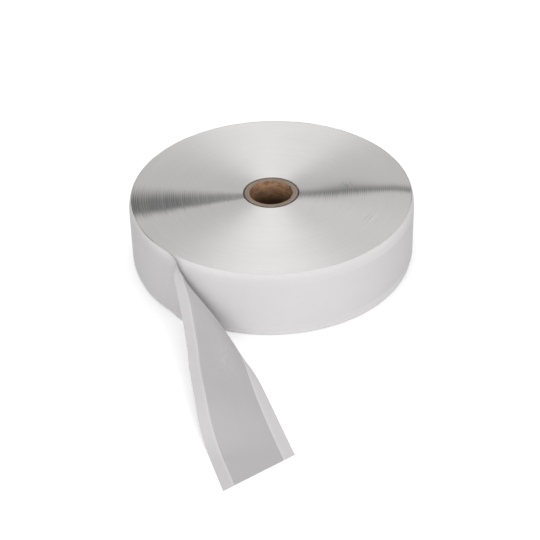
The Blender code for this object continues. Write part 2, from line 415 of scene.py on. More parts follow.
# %% Plan of the bottom edge
LOOSE_ANGLE = math.radians(198)
LEAVE_ANGLE = math.radians(232.7)
LEAVE_SLACK = 0.0045
LET_GO_ANGLE = math.radians(224)
TURN_ANGLE = math.radians(36.1)
TURN_RUN = 0.251
TAPE_REACH = 0.438
PLAN_STEP = 0.001
QUARTER_TURN = math.pi / 2


def ease(x):
    """Rises from 0 to 1 as x does, flat at both ends: three squares less two cubes."""
    x = np.clip(x, 0, 1)
    return x * x * (3 - 2 * x)


def looseness(along):
    """0 where the outer turn lies on the roll, and 1 from where it leaves."""
    angle = LEAVE_ANGLE + along / ROLL_RADIUS
    return ease((angle - LOOSE_ANGLE) / (LEAVE_ANGLE - LOOSE_ANGLE))


def bottom_edge(along):
    """Plan position and heading of the bottom edge.

    On the roll: radius times cosine and sine of the angle. Off it: the running sum of small steps
    along a heading that turns away from the roll as the ease curve rises.
    """
    stations = np.arange(0, TAPE_REACH, PLAN_STEP)
    headings = LEAVE_ANGLE + QUARTER_TURN - TURN_ANGLE * ease(stations / TURN_RUN)
    middle = (headings[1:] + headings[:-1]) / 2
    radius = ROLL_RADIUS + LEAVE_SLACK
    free_x = radius * math.cos(LEAVE_ANGLE) + PLAN_STEP * np.append(0, np.cumsum(np.cos(middle)))
    free_y = radius * math.sin(LEAVE_ANGLE) + PLAN_STEP * np.append(0, np.cumsum(np.sin(middle)))
    angle = LEAVE_ANGLE + along / ROLL_RADIUS
    wound = ROLL_RADIUS + LEAVE_SLACK * looseness(along)
    on_roll = along < 0
    x = np.where(on_roll, wound * np.cos(angle), np.interp(along, stations, free_x))
    y = np.where(on_roll, wound * np.sin(angle), np.interp(along, stations, free_y))
    heading = np.where(on_roll, angle + QUARTER_TURN, np.interp(along, stations, headings))
    return x, y, heading


print("tape leaves the roll at", [float(v.round(4)) for v in bottom_edge(np.array(0.0))[:2]])

# %% [markdown]
# A cross-section of the tape stands upright on the roll. On the loose end it leans over above a
# crease, and the crease runs down from the top edge to the bottom edge as the tape runs on. Past
# that the whole width lies flat. The lean passes the horizontal at first, which gives the rolled lip
# of the lapel.
#
# On the roll, the two bare fleece edges lean in over the turns below, because there is no coat
# between them. The lean starts slowly and grows towards the rim, as a cube does. The outer turn lets
# go of it just before the tape leaves the roll.

# %% The fold
FOLD_LEAD = 0.0216
LEAN_RUN = 0.393
CURL_ANGLE = math.radians(59.8)
CURL_PEAK = 0.0605
CREASE_RUN = 0.2085
BEND_WIDTH = 0.110
FOLD_END = 0.276
SWEEP_ANGLE = math.radians(40.4)
SWEEP_RUN = 0.1695
LEAN_SAMPLES = 48
NORMAL_STEP = 0.0001


def hump(x, peak, end):
    """Rises smoothly from 0 at 0 to 1 at the peak, and falls back to 0 at the end."""
    return ease(x / peak) * (1 - ease((x - peak) / (end - peak)))


def edge_lean(across):
    """How far a wound turn's fleece edge leans in over the roll: a cube law past the coat."""
    past_coat = np.abs(across - HALF_WIDTH) - COAT_HALF_WIDTH
    return EDGE_LEAN * (np.clip(past_coat, 0, None) / FLEECE_EDGE) ** 3


def smooth_face(along, across):
    """Points of the tape's outer face.

    Out and up are the means of the lean's sine and cosine, times the width of tape below the point.
    """
    x, y, heading = bottom_edge(along)
    square = heading - QUARTER_TURN
    swept = square - SWEEP_ANGLE * (1 - ease(along / SWEEP_RUN))
    folded = along + FOLD_LEAD
    full_lean = QUARTER_TURN * ease(folded / LEAN_RUN)
    full_lean = full_lean + CURL_ANGLE * hump(folded, CURL_PEAK, FOLD_LEAD + FOLD_END)
    crease = TAPE_WIDTH * (FOLD_END - along) / CREASE_RUN
    parts = (np.arange(LEAN_SAMPLES) + 0.5) / LEAN_SAMPLES
    place = across[..., None] * parts
    lean = full_lean[..., None] * ease((place - crease[..., None]) / BEND_WIDTH + 1)
    out = across * np.sin(lean).mean(axis=-1)
    up = across * np.cos(lean).mean(axis=-1)
    angle = LEAVE_ANGLE + along / ROLL_RADIUS
    held = 1 - ease((angle - LET_GO_ANGLE) / (LEAVE_ANGLE - LET_GO_ANGLE))
    slack_shut = np.clip(LEAVE_SLACK * looseness(along) - TAPE_THICKNESS - FIT_GAP, 0, None)
    tucked = edge_lean(across) * (1 + slack_shut / EDGE_LEAN) * held
    x = x + out * np.cos(swept) - tucked * np.cos(square)
    y = y + out * np.sin(swept) - tucked * np.sin(square)
    return np.stack((x, y, up - HALF_WIDTH), -1)


def inward_normals(along, across):
    """Unit normals into the tape: the cross product of a small step up and a small step along."""
    run = smooth_face(along + NORMAL_STEP, across) - smooth_face(along - NORMAL_STEP, across)
    rise = smooth_face(along, across + NORMAL_STEP) - smooth_face(along, across - NORMAL_STEP)
    normal = np.cross(rise, run)
    return normal / np.linalg.norm(normal, axis=-1, keepdims=True)


fold_tip = smooth_face(np.array([FOLD_END]), np.array([TAPE_WIDTH]))
print("top edge over the fold's end:", fold_tip.round(3))

# %% [markdown]
# Tape that was wound under tension never lies perfectly round. It has faint upright flutes, which
# show as light and dark bands where the roll turns away from the lamp. They are a sum of a few waves
# of unlike length, and one taller ripple at the right. All push outwards only, so that they never
# touch the turn below. They die out towards the flat end, which lies on the floor. A bump map would
# be less work, but it would leave the outline of the roll smooth.

# %% Flutes of the outer turn
FLUTE_HEIGHT = 0.00035
FLUTE_LENGTHS = (0.031, 0.047, 0.083, 0.139)
FLUTES_END = (0.08, 0.26)
RIPPLE_HEIGHT = 0.0007
RIPPLE_AT = -1.052
RIPPLE_WIDTH = 0.016


def flutes(along):
    """Outward push: the mean of four sine waves, moved up to lie from 0 to 1, and one bell curve."""
    waves = [np.sin(2 * math.pi * along / length + 5 * n) for n, length in enumerate(FLUTE_LENGTHS)]
    height = 0.5 + 0.5 * np.mean(waves, axis=0)
    fading = 1 - ease((along - FLUTES_END[0]) / (FLUTES_END[1] - FLUTES_END[0]))
    ripple = np.exp(-(((along - RIPPLE_AT) / RIPPLE_WIDTH) ** 2))
    return FLUTE_HEIGHT * height * fading + RIPPLE_HEIGHT * ripple


def tape_layer(along, across, depth):
    """Points of the tape at a depth under its outer face."""
    inward = inward_normals(along, across)
    return smooth_face(along, across) + (depth - flutes(along))[..., None] * inward


print("flutes stand out by up to", FLUTE_HEIGHT * 1000, "mm")

# %% [markdown]
# ## The pack of wound turns
#
# Some 280 turns lie under the outer one. What shows of them is their edges: the flat top face, with
# its fine rings. On the real roll each turn stands a hair higher or lower than its neighbours, and
# drifts a little as it goes round. So the face has one ring of points for each turn, and the height
# of each ring is smooth noise: random numbers, blurred from turn to turn, for a few slow waves round
# the roll. A bump map alone could draw the rings, but real edges catch the light from any side.

# %% Heights of the turns' edges
PACK_BORE_RADIUS = 0.0494
TURN_PITCH = 0.0007
STEPS_ROUND = 256
RING_SEED = 7
# How many turns a wave spans, how high it is in metres and how many waves go round
RING_WAVES = ((0.6, 0.00003, 5), (3.0, 0.00002, 4), (14.0, 0.00006, 3))


def blurred(values, span):
    """Noise blurred along its last axis by a bell curve, and brought back to a spread of 1."""
    reach = int(3 * span) + 1
    weights = np.exp(-0.5 * (np.arange(-reach, reach + 1) / span) ** 2)
    soft = np.apply_along_axis(np.convolve, -1, values, weights, "same")
    return soft / np.sqrt((weights**2).sum())


def edge_heights(turns, angles):
    """Height of every turn's edge at every angle: sums of slow waves with blurred random sizes."""
    draws = np.random.default_rng(RING_SEED)
    heights = np.zeros((len(angles), turns))
    for span, size, waves in RING_WAVES:
        around = np.arange(waves)
        parts = draws.normal(size=(2, waves, turns)) / np.sqrt(2 * waves)
        parts = blurred(parts, span)
        phase = angles[:, None] * around[None, :]
        heights += size * (np.cos(phase) @ parts[0] + np.sin(phase) @ parts[1])
    return heights


FLEECE_ROOM = TAPE_THICKNESS - CARRIER_THICKNESS
face_outer = PACK_RADIUS - EDGE_LEAN + FLEECE_ROOM
turn_count = int((face_outer - PACK_BORE_RADIUS) / TURN_PITCH)
round_angles = np.arange(STEPS_ROUND) * 2 * math.pi / STEPS_ROUND
top_heights = edge_heights(turn_count, round_angles)
print(turn_count, "turns, edges within", (np.abs(top_heights).max() * 1000).round(2), "mm")

# %% [markdown]
# The pack is a ring: its section goes out over the top face, down the wall under the outer turn, in
# under the bottom face and up the bore. The bottom face has fewer rings and stays flat, because the
# roll lies on it. Where the turns' bare fleece edges lean in, the pack is a little wider, because
# the coats are missing there and the fleece fills that space. A Screw modifier could spin the
# section, but then each turn would have one height all round.

# %% Mesh of the pack
BOTTOM_RINGS = 72
WALL_ROWS = 16
RIM_ROW = 0.9965
FACE_SINK = 0.0001
BORE_ROUNDING = 0.0008


def pack_section():
    """Radii and heights round the section, as one closed loop of points."""
    radii = np.linspace(PACK_BORE_RADIUS, face_outer, turn_count)
    rounding = BORE_ROUNDING * np.clip(1 - (radii - PACK_BORE_RADIUS) / BORE_ROUNDING, 0, 1) ** 2
    top = HALF_WIDTH - FACE_SINK - rounding
    steps = np.sin(np.linspace(QUARTER_TURN, -QUARTER_TURN, WALL_ROWS + 2)[1:-1])
    steps[[0, -1]] = (RIM_ROW, -RIM_ROW)
    across = HALF_WIDTH * (1 + steps)
    past_coat = np.abs(across - HALF_WIDTH) - COAT_HALF_WIDTH
    wall = PACK_RADIUS - edge_lean(across) + FLEECE_ROOM * ease(past_coat / (FLEECE_EDGE / 2))
    under = np.linspace(face_outer, PACK_BORE_RADIUS, BOTTOM_RINGS)
    profile_radii = np.concatenate((radii, wall, under))
    profile_heights = np.concatenate((top, across - HALF_WIDTH, np.full(BOTTOM_RINGS, -HALF_WIDTH)))
    return profile_radii, profile_heights


def make_pack(finish):
    """Spin the section: x and y are radius times cosine and sine, z is height plus the edges' own."""
    radii, heights = pack_section()
    x = radii[None, :] * np.cos(round_angles)[:, None]
    y = radii[None, :] * np.sin(round_angles)[:, None]
    z = np.broadcast_to(heights, x.shape).copy()
    inner_first = ease(np.arange(turn_count) / 2)
    z[:, :turn_count] = np.minimum(z[:, :turn_count] + top_heights * inner_first, HALF_WIDTH)
    return ring_piece("wound_turns", np.stack((x, y, z), -1), finish)


print("the section has", len(pack_section()[0]), "points")

# %% [markdown]
# ## Finish of the wound edges
#
# The edges of the turns are silky and pale grey, and they shine somewhat like brushed metal. Seen
# across the rings the highlight is drawn out, so the face is bright towards the front and the back,
# and duller to both sides. The anisotropic setting of the shader does part of that, and its rotation
# of a quarter turn lays the fine grooves round the roll. A strong gloss would turn plain white when
# it is seen from the back, so the gloss is kept low. A few lighter sectors painted into the colour do
# the rest: they are a painted sheen.
#
# Two fans, to the left and the right, are painted darker still: a painted shade where the sheen of
# the grooves dies away to the two sides. They are drawn in polar terms, worked out from the object's
# own coordinates. The right one is a band about a line that wanders with the radius. The left one
# widens with the radius, soft on one side and sharp on the other. Each turn ends its painted dark
# stretch at a slightly different angle, which frays the sides, and single turns show as a fine comb.
# In two small patches the turns lie unevenly, which shows as short strokes along them. A picture
# could be laid over the face instead, but these sums stay sharp from any distance.

# %% The painted dark fans of the wound edges
# The fans are painted shade; these numbers give their shape and depth
FAN_START = 0.02
FAN_RIGHT_WIDTH = 0.0125
FAN_RIGHT_DEPTH = 0.505
FAN_RIGHT_DEEPER = 0.09
FAN_RIGHT_FRAY = 0.9
# Where the right fan's middle line starts, how far it goes back and forward, and at which radii
FAN_RIGHT_LINE = -0.0075
LINE_GOES_BACK, BACK_RADII = 0.010, (0.05, 0.17)
LINE_GOES_FORWARD, FORWARD_RADII = 0.008, (0.21, 0.26)
# How much wider and sharper its front gets, how soft its back is, and at which radii
FRONT_WIDER, WIDE_RADIUS = 0.24, 0.115
FRONT_SHARPER, SHARP_RADII = 0.25, (0.16, 0.20)
BACK_SOFTER, HALF_WAY_OUT = 0.6, 0.13
SOFT_SPREAD = 0.22
# The left fan: the line in front of the axis that it is counted from, the sines of the angle past
# due left between which it rises and falls, and the radii between which it gets deeper
FAN_LEFT_LINE = 0.0055
FAN_LEFT_RISE = (-0.19, 0.09)
FAN_LEFT_FALL = (0.18, 0.315)
FAN_LEFT_FRAY = 0.13
FAN_LEFT_DEPTH = 0.45
FAN_LEFT_DEEPER, DEEPER_RADII = 0.222, (0.05, 0.20)
# Direction in degrees, sharpness and strength of each sector of the face with painted sheen
PAINTED_SHEEN_SECTORS = (
    (-90, 6, 0.155), (90, 4, 0.165), (244, 20, 0.08),
    (57, 25, 0.10), (120, 25, 0.045), (-29, 11, 0.175),
)
# Direction in degrees, sharpness, radius, reach, darkness and contrast of each patch of uneven turns
UNEVEN_PATCHES = ((-27, 160, 0.191, 0.012, 0.0, 0.50), (8.5, 420, 0.136, 0.010, 0.11, 1.00))


# The right fan is painted shade, for the dull side of the grooves' sheen
def right_painted_shade_fan(x, y, radius, fray):
    """A bell curve in y about a line that wanders with the radius.

    Its back is softer half-way out. Its front is wider near the core and sharper near the rim.
    """
    back, forward = step_up(radius, *BACK_RADII), step_up(radius, *FORWARD_RADII)
    middle_line = back * LINE_GOES_BACK - forward * LINE_GOES_FORWARD + FAN_RIGHT_LINE
    apart = (y - middle_line) / FAN_RIGHT_WIDTH + fray * FAN_RIGHT_FRAY
    wide, sharp = bell(radius, WIDE_RADIUS, 0.05), step_up(radius, *SHARP_RADII)
    in_front = step_up(apart * -1.0, 0.0, 0.6)
    apart = apart * (in_front * (sharp * FRONT_SHARPER - wide * FRONT_WIDER) + 1.0)
    behind = step_up(apart, 0.0, 1.0) * bell(radius, HALF_WAY_OUT, 0.06) * BACK_SOFTER
    soft = x.maths("EXPONENT", apart * apart * -SOFT_SPREAD) * behind
    core = x.maths("EXPONENT", apart * apart * -1.0) * (1.0 - behind)
    depth = bell(radius, HALF_WAY_OUT, 0.05) * FAN_RIGHT_DEEPER + FAN_RIGHT_DEPTH
    return (core + soft) * depth * step_up(x, 0.0, FAN_START)


# The left fan is painted shade too, where the grooves' sheen dies away to the left
def left_painted_shade_fan(x, y, radius, fray):
    """Rises slowly and falls fast with the angle past due left, and fades towards the core."""
    past_left = (y * -1.0 - FAN_LEFT_LINE) / radius + fray * FAN_LEFT_FRAY
    rise = step_up(past_left, *FAN_LEFT_RISE)
    fall = 1 - step_up(past_left, *FAN_LEFT_FALL)
    depth = step_up(radius, *DEEPER_RADII) * FAN_LEFT_DEEPER + FAN_LEFT_DEPTH
    return rise * fall * depth * step_up(x * -1.0, 0.0, FAN_START)


def sector(east, north, angle, sharpness):
    """A bell curve about a direction: falls off with how far the cosine to it is below 1."""
    cosine = east * math.cos(angle) + north * math.sin(angle)
    return east.maths("EXPONENT", (cosine - 1.0) * sharpness)


def uneven_turns(east, north, radius, strokes):
    """For each patch, a bell in direction times one in radius times its strokes less its darkness."""
    total = 0.0
    for direction, sharpness, middle, reach, darkness, contrast in UNEVEN_PATCHES:
        patch = sector(east, north, math.radians(direction), sharpness) * bell(radius, middle, reach)
        total = patch * (strokes * contrast - darkness) + total
    return total


print("the left fan spans", round(math.degrees(FAN_LEFT_FALL[1] - FAN_LEFT_RISE[0])), "degrees")

# %% Material of the wound edges
COMB_PITCH = 0.0037
FAN_CONTRAST = 0.9
EDGE_COLOUR = (0.625, 0.616, 0.609)
EDGE_METALLIC = 0.28
EDGE_HIGHLIGHT_STRETCH = 0.85
GROOVES_ROUND_THE_ROLL = 0.25


def ring_noise(east, north, radius, around, outwards, detail, roughness=0.5):
    """Noise about 0, drawn out along the turns: one scale round the roll, one from turn to turn."""
    place = vector_of(east * around, north * around, radius * outwards)
    return noise(radius, place, 1.0, detail, roughness) - 0.5


def wound_edge_finish():
    """Colour times 1 less painted shade, 1 plus painted sheen, 1 plus patches and 1 plus noise."""
    material, start, shader = start_finish("silky_wound_edges")
    place, x, y, radius = object_place(start)
    east, north = x / radius, y / radius
    bands = ring_noise(east, north, radius, 0.9, 430, 2.0)
    bristles = ring_noise(east, north, radius, 0.9, 860, 0.0)
    rings = ring_noise(east, north, radius, 2.5, 900, 2.0, 0.7)
    clouds = ring_noise(east, north, radius, 1.3, 14, 1.0)
    strokes = ring_noise(east, north, radius, 7.0, 440, 0.0)

    comb = start.maths("SINE", radius * (2 * math.pi / COMB_PITCH) + bands * 3.0)
    fray = bands * 0.2 + bristles * 0.8 + comb * 0.12
    # Painted shade of the two fans, frayed along the turns
    fans = right_painted_shade_fan(x, y, radius, fray) + left_painted_shade_fan(x, y, radius, fray)
    fans = fans * (1.0 + fray * FAN_CONTRAST)
    # Painted sheen: the lighter sectors of the face
    even = 1.0
    for direction, sharpness, strength in PAINTED_SHEEN_SECTORS:
        even = sector(east, north, math.radians(direction), sharpness) * strength + even
    even = even * (1.0 + uneven_turns(east, north, radius, strokes))
    shade = (1 - fans) * even * (1.0 + bands * 0.08 + rings * 0.12 + clouds * 0.06)
    turns = start.maths("SINE", radius * (2 * math.pi / TURN_PITCH))
    connect(shader, {
        "Base Color": scaled_colour(EDGE_COLOUR, shade),
        "Roughness": 0.46 + bands * 0.15,
        "Normal": bumped(turns * 0.5 + rings, 0.00006),
    })
    shader.inputs["Metallic"].default_value = EDGE_METALLIC
    shader.inputs["Anisotropic"].default_value = EDGE_HIGHLIGHT_STRETCH
    shader.inputs["Anisotropic Rotation"].default_value = GROOVES_ROUND_THE_ROLL
    return material


wound_turns = make_pack(wound_edge_finish())
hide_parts("wound_tape")
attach(wound_turns, "roll")

# %% [markdown]
# ## Fleece and coat
#
# The carrier is a non-woven fleece: short white fibres pressed together at random. From a step away
# it is a matt white with soft, cloudy patches, and close up it has fine fibres. Where the grey coat
# lies behind it, a little grey shines through. On the outer face the bare fleece is painted lighter
# along its rims: painted light where the leaning edges catch more light from above, and along the
# bottom edge painted light for the light from the floor. The outer turn's first stretch, beside the
# fold, and its rim at the right are painted lighter too: painted light. On the inner face the fleece
# is lighter in a thin line beside the coat, and darker on its inner side, where it was pressed. The
# material reads the tape's own flat coordinates from its UV map, in metres along and across, so that
# every pattern bends with the tape. It could read the object's coordinates, but then the pattern
# would cut across the fold.

# %% Material of the fleece carrier
FLEECE_COLOUR = (0.727, 0.712, 0.718)
# Shares by which places on the fleece are lighter, or darker
# Painted light in the shade beside the fold, on the outer turn's first stretch
FOLD_SIDE_PAINTED_LIGHT = 0.08
BRIM_LIGHTER = 0.06
# Painted light on the outer face's rims, where the leaning edges catch light from above
RIM_PAINTED_LIGHT = 0.04
# Painted light on the bottom edge, standing in for light from the floor
FOOT_PAINTED_LIGHT = 0.06
# Painted light on the rim at the right
RIGHT_RIM_PAINTED_LIGHT = 0.08
COVERED_DARKER = 0.015
INSIDE_DARKER, LESS_AT_FOOT = 0.13, 0.04
# The outer turn starts under its own other end; its first stretch gets painted light, beside the fold
TUCKED_UNDER = 0.050
TURN_START = -(FOLD_LEAD + 2 * math.pi * ROLL_RADIUS + TUCKED_UNDER)
FOLD_SIDE_LIGHT_UNTIL, FOLD_SIDE_LIGHT_ENDS = TURN_START + 0.10, TURN_START + 0.24
# Where the painted light on the rim at the right lies, and its reach
RIGHT_RIM_AT, RIGHT_RIM_REACH = RIPPLE_AT - 0.10, 0.11
SOFT_STEP = 0.0015


def flat_place(start):
    """Place on the flat tape: as a vector, and as the two lengths along and across."""
    flat = start.node("ShaderNodeUVMap", {"uv_map": "flat_tape"}, {})
    along = start.node("ShaderNodeSeparateXYZ", {}, {0: flat}, "X")
    return flat, along, along.other("Y")


def coat_behind(across):
    """1 where the coat is, 0 on the two fleece edges, with a soft step of a few millimetres."""
    from_middle = across.maths("ABSOLUTE", across - HALF_WIDTH)
    return 1 - step_up(from_middle, COAT_HALF_WIDTH - SOFT_STEP, COAT_HALF_WIDTH + SOFT_STEP)


def fleece_finish():
    """One shade: 1, plus clouds, fibres and light and dark places, some painted light, times the
    colour.
    """
    material, start, shader = start_finish("white_fleece")
    flat, along, across = flat_place(start)
    covered = coat_behind(across)
    clouds = noise(start, flat, 55.0, detail=4.0, roughness=0.6)
    fibres = noise(start, flat, 900.0, detail=4.0, roughness=0.75)
    inside = start.node("ShaderNodeAttribute", {"attribute_name": "coated_side"}, {}, "Fac")
    from_coat = start.maths("ABSOLUTE", across - HALF_WIDTH) - COAT_HALF_WIDTH
    brim = bell(from_coat, 0.0025, 0.0018) * inside
    # Painted light in the shade beside the fold
    fold_side_painted_light = 1 - step_up(along, FOLD_SIDE_LIGHT_UNTIL, FOLD_SIDE_LIGHT_ENDS)
    shade = 1.0 + (clouds - 0.5) * 0.05 + (fibres - 0.5) * 0.10 - covered * COVERED_DARKER
    # Painted light on the rims of the outer face
    rim = step_up(from_coat, 0.007, 0.016) * (1 - inside) * RIM_PAINTED_LIGHT
    # Painted light along the bottom edge, for light from the floor
    foot = step_up(across, 0.016, 0.003) * (1 - inside) * FOOT_PAINTED_LIGHT
    pressed = inside * (INSIDE_DARKER - step_up(across, 0.030, 0.015) * LESS_AT_FOOT)
    # Painted light on the rim at the right
    right_rim_painted_light = bell(along, RIGHT_RIM_AT, RIGHT_RIM_REACH) * (1 - covered) * RIGHT_RIM_PAINTED_LIGHT
    shade = shade - pressed + brim * BRIM_LIGHTER + fold_side_painted_light * FOLD_SIDE_PAINTED_LIGHT + rim + foot + right_rim_painted_light
    connect(shader, {
        "Base Color": scaled_colour(FLEECE_COLOUR, shade),
        "Roughness": 0.62 + (clouds - 0.5) * 0.2,
        "Normal": bumped(fibres + clouds * 0.5, 0.00012),
    })
    shader.inputs["Specular IOR Level"].default_value = 0.35
    return material


fleece = fleece_finish()
print("fleece is ready")

# %% [markdown]
# The coat is an even grey layer of sealing compound, smooth and a little silky. It has faint lines
# along the tape from the knife that spread it, and a soft print of the fleece that it was wound
# against. Its colour differs by only a few parts in a hundred from place to place. One patch of the
# loose end was crumpled and still shows faint pleats, drawn as light and dark streaks in its colour;
# that patch is also painted lighter, a painted light where the fold shades the coat. A thin painted
# highlight runs along the fold's lip. The coat could be a mask in the fleece's material, but as a
# piece of its own it has a real border that catches the light.

# %% Material of the sealing coat
COAT_COLOUR = (0.498, 0.486, 0.491)
# Place along and across the tape of the patch that was crumpled, and its reach both ways
CRUMPLED_PLACE = (0.171, 0.056)
CRUMPLED_REACH = (0.042, 0.018)
# Painted light over the crumpled patch, and the contrast of its pleat streaks
CRUMPLED_PAINTED_LIGHT, PLEAT_CONTRAST = 0.035, 0.24
# A point of the line along which the tape folds, and the direction square to that line
FOLD_LINE_POINT = (0.0525, 0.0950)
FOLD_LINE_NORMAL = (0.625, 0.78)
# The lip's painted highlight: width and place square to that line, place and reach along the tape
LIP_WIDTH, LIP_OFFSET = 0.0040, -0.0005
LIP_AT, LIP_REACH = 0.082, 0.036
# Strength of the painted highlight on the lip
LIP_PAINTED_HIGHLIGHT = 0.12


# Where the painted highlight along the fold's lip lies
def lip_painted_highlight(along, across):
    """Bell curve of the distance from the fold's line, and another one that ends it lengthwise."""
    past_line = (along - FOLD_LINE_POINT[0]) * FOLD_LINE_NORMAL[0]
    past_line = past_line + (across - FOLD_LINE_POINT[1]) * FOLD_LINE_NORMAL[1]
    return bell(past_line, LIP_OFFSET, LIP_WIDTH) * bell(along, LIP_AT, LIP_REACH)


def coat_finish():
    """One shade: 1 plus lines, clouds, print, pleats, painted light and highlight, times the colour.
    """
    material, start, shader = start_finish("grey_sealing_coat")
    flat, along, across = flat_place(start)
    drawn = noise(start, vector_of(along * 6.0, across * 420.0, 0.0), 1.0, detail=3.0)
    clouds = noise(start, flat, 40.0, detail=3.0)
    print_of_fleece = noise(start, flat, 700.0, detail=3.0, roughness=0.7)
    crumpled = bell(along, CRUMPLED_PLACE[0], CRUMPLED_REACH[0])
    crumpled = crumpled * bell(across, CRUMPLED_PLACE[1], CRUMPLED_REACH[1])
    pleats = noise(start, vector_of(along * 75.0, across * 260.0, 0.0), 1.0, detail=1.0) - 0.5
    shade = 1.0 + (drawn - 0.5) * 0.06 + (clouds - 0.5) * 0.06 + (print_of_fleece - 0.5) * 0.06
    # Pleat streaks of the crumpled patch, and painted light over it
    shade = shade + crumpled * (pleats * PLEAT_CONTRAST + CRUMPLED_PAINTED_LIGHT)
    # Painted highlight along the fold's lip
    shade = shade + lip_painted_highlight(along, across) * LIP_PAINTED_HIGHLIGHT
    connect(shader, {
        "Base Color": scaled_colour(COAT_COLOUR, shade),
        "Roughness": 0.5 + (drawn - 0.5) * 0.2,
        "Normal": bumped(print_of_fleece + drawn, 0.0001),
    })
    shader.inputs["Specular IOR Level"].default_value = 0.4
    return material


coat = coat_finish()
print("coat is ready")

# %% [markdown]
# ## The outer turn, the fold and the flat end
#
# On the real roll these are one unbroken tape. It is cut into three stretches, because each has a
# joint of its own: the outer turn goes round the roll, the fold swings, and the flat end lifts.
# Neighbours meet in the same row of points, so no gap shows. Each stretch is a thin carrier with a
# thicker coat on its inner face, whose two long edges are rounded off. A Solidify modifier would
# give both an even thickness, but it can't round the coat's edges.

# %% Columns across the tape
COAT_BORDER = 0.0012


def columns_across(middle):
    """Places across the tape, closer together over its two fleece edges."""
    low = np.linspace(0, FLEECE_EDGE, 9)
    centre = np.linspace(FLEECE_EDGE, TAPE_WIDTH - FLEECE_EDGE, middle + 1)
    return np.concatenate((low, centre[1:-1], TAPE_WIDTH - low[::-1]))


def coat_columns(middle):
    """Places across the coat, with three close to each border for its rounded edge."""
    first, last = FLEECE_EDGE, TAPE_WIDTH - FLEECE_EDGE
    rounding = COAT_BORDER * np.array([0, 0.15, 0.45, 1.0])
    centre = np.linspace(first + COAT_BORDER, last - COAT_BORDER, middle + 1)
    return np.concatenate((first + rounding[:-1], centre, last - rounding[:-1][::-1]))


def coat_fullness(across):
    """Share of the coat's full thickness: a quarter circle at each border, and 1 between them."""
    from_border = np.minimum(across - FLEECE_EDGE, TAPE_WIDTH - FLEECE_EDGE - across)
    inside = np.clip(from_border / COAT_BORDER, 0, 1)
    return np.sqrt(1 - (1 - inside) ** 2)


print("columns across the outer turn:", len(columns_across(12)))

# %% The stretches
END_AT_BOTTOM_EDGE = 0.395
END_AT_TOP_EDGE = 0.436
TURN_TO_FOLD = -0.050
FOLD_TO_FLAT = 0.320
COAT_LEAST = 0.1
# Rows along and columns over the coat of each stretch
TURN_GRID = (540, 14)
FOLD_GRID = (250, 48)
FLAT_GRID = (60, 48)


def tape_stretch(name, start, end, rows, middle):
    """Carrier and coat from one cut to the next. A cut is its lengths at the bottom and top edge."""
    pieces = []
    for layer, across in (("fleece", columns_across(middle)), ("coat", coat_columns(middle))):
        share = np.linspace(0, 1, rows)[:, None]
        first = start[0] + (start[1] - start[0]) * across / TAPE_WIDTH
        last = end[0] + (end[1] - end[0]) * across / TAPE_WIDTH
        along = first + share * (last - first)
        across = np.broadcast_to(across, along.shape)
        places = np.stack((along, across), -1)
        if layer == "fleece":
            sides = (0 * across, 0 * across + CARRIER_THICKNESS)
        else:
            fullness = COAT_LEAST + (1 - COAT_LEAST) * coat_fullness(across)
            coat_depth = (TAPE_THICKNESS - CARRIER_THICKNESS) * fullness
            sides = (0 * across + CARRIER_THICKNESS, CARRIER_THICKNESS + coat_depth)
        near, far = (tape_layer(along, across, depth) for depth in sides)
        material = fleece if layer == "fleece" else coat
        pieces.append(sheet_piece(f"{name}_{layer}", near, far, material, places))
    return pieces


first_cut = (TURN_START, TURN_START)
fold_cut = (TURN_TO_FOLD, TURN_TO_FOLD)
flat_cut = (FOLD_TO_FLAT, FOLD_TO_FLAT)
slanted_cut = (END_AT_BOTTOM_EDGE, END_AT_TOP_EDGE)
turn_pieces = tape_stretch("outer_turn", first_cut, fold_cut, *TURN_GRID)
fold_pieces = tape_stretch("fold", fold_cut, flat_cut, *FOLD_GRID)
flat_pieces = tape_stretch("flat_end", flat_cut, slanted_cut, *FLAT_GRID)

# %% [markdown]
# Now each stretch takes the place of its solid, which is hidden. The outer turn simply rides with
# the outer turn's body. The fold and the flat end stay fixed where they lie here; the places where
# their bends at the swing joint and at the lift joint would start and end are worked out and
# printed. A fold that moved as one stiff piece would kink at the joint, and the same holds for the
# flat end at its lift joint. The bend would start at the joint and not before it, so that the tape
# never swings into the roll or down into the floor.

# %% Joints across the tape
SWING_BEND = 0.060
LIFT_AT = 0.340
LIFT_BEND = 0.035


def plan_point(along, height):
    """A point above the bottom edge, at a length along the tape."""
    x, y, _ = bottom_edge(np.array(along))
    return Vector((float(x), float(y), height))


swing_start = plan_point(-FOLD_LEAD, 0.0)
swing_end = plan_point(-FOLD_LEAD + SWING_BEND, 0.0)
lift_start = plan_point(LIFT_AT, -HALF_WIDTH)
lift_end = plan_point(LIFT_AT + LIFT_BEND, -HALF_WIDTH)

for piece, layer in zip(turn_pieces, ("carrier", "coating")):
    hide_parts(f"outer_turn_{layer}")
    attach(piece, "outer_turn")
for piece, layer in zip(fold_pieces, ("carrier", "coating")):
    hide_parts(f"tail_fold_{layer}")
    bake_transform(piece)
for piece, layer in zip(flat_pieces, ("carrier", "coating")):
    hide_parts(f"tail_end_{layer}")
    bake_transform(piece)
print("the fold bends from", tuple(round(v, 3) for v in swing_start))
print("the flat end bends from", tuple(round(v, 3) for v in lift_start))

# %% [markdown]
# The three carriers are sheets of fleece, cut from one strip. Their flat sizes are the tape's width
# and the length of each stretch. The flat end is cut on a slant.

# %% [markdown]
# ## The board core
#
# The core is wound from strips of board, glued on top of each other in six plies: a brown liner in
# the bore, four plies of grey board and a brown cover. On the cut face the plies show as rings. Each
# ply is a tube whose cut edges are slightly rounded and a little rough. The liner also has the seam
# of its strip, a shallow groove that climbs round the bore like a thread. The solids of the plies
# are tubes too, but their facets would show in the bore, so finer ones are spun here.

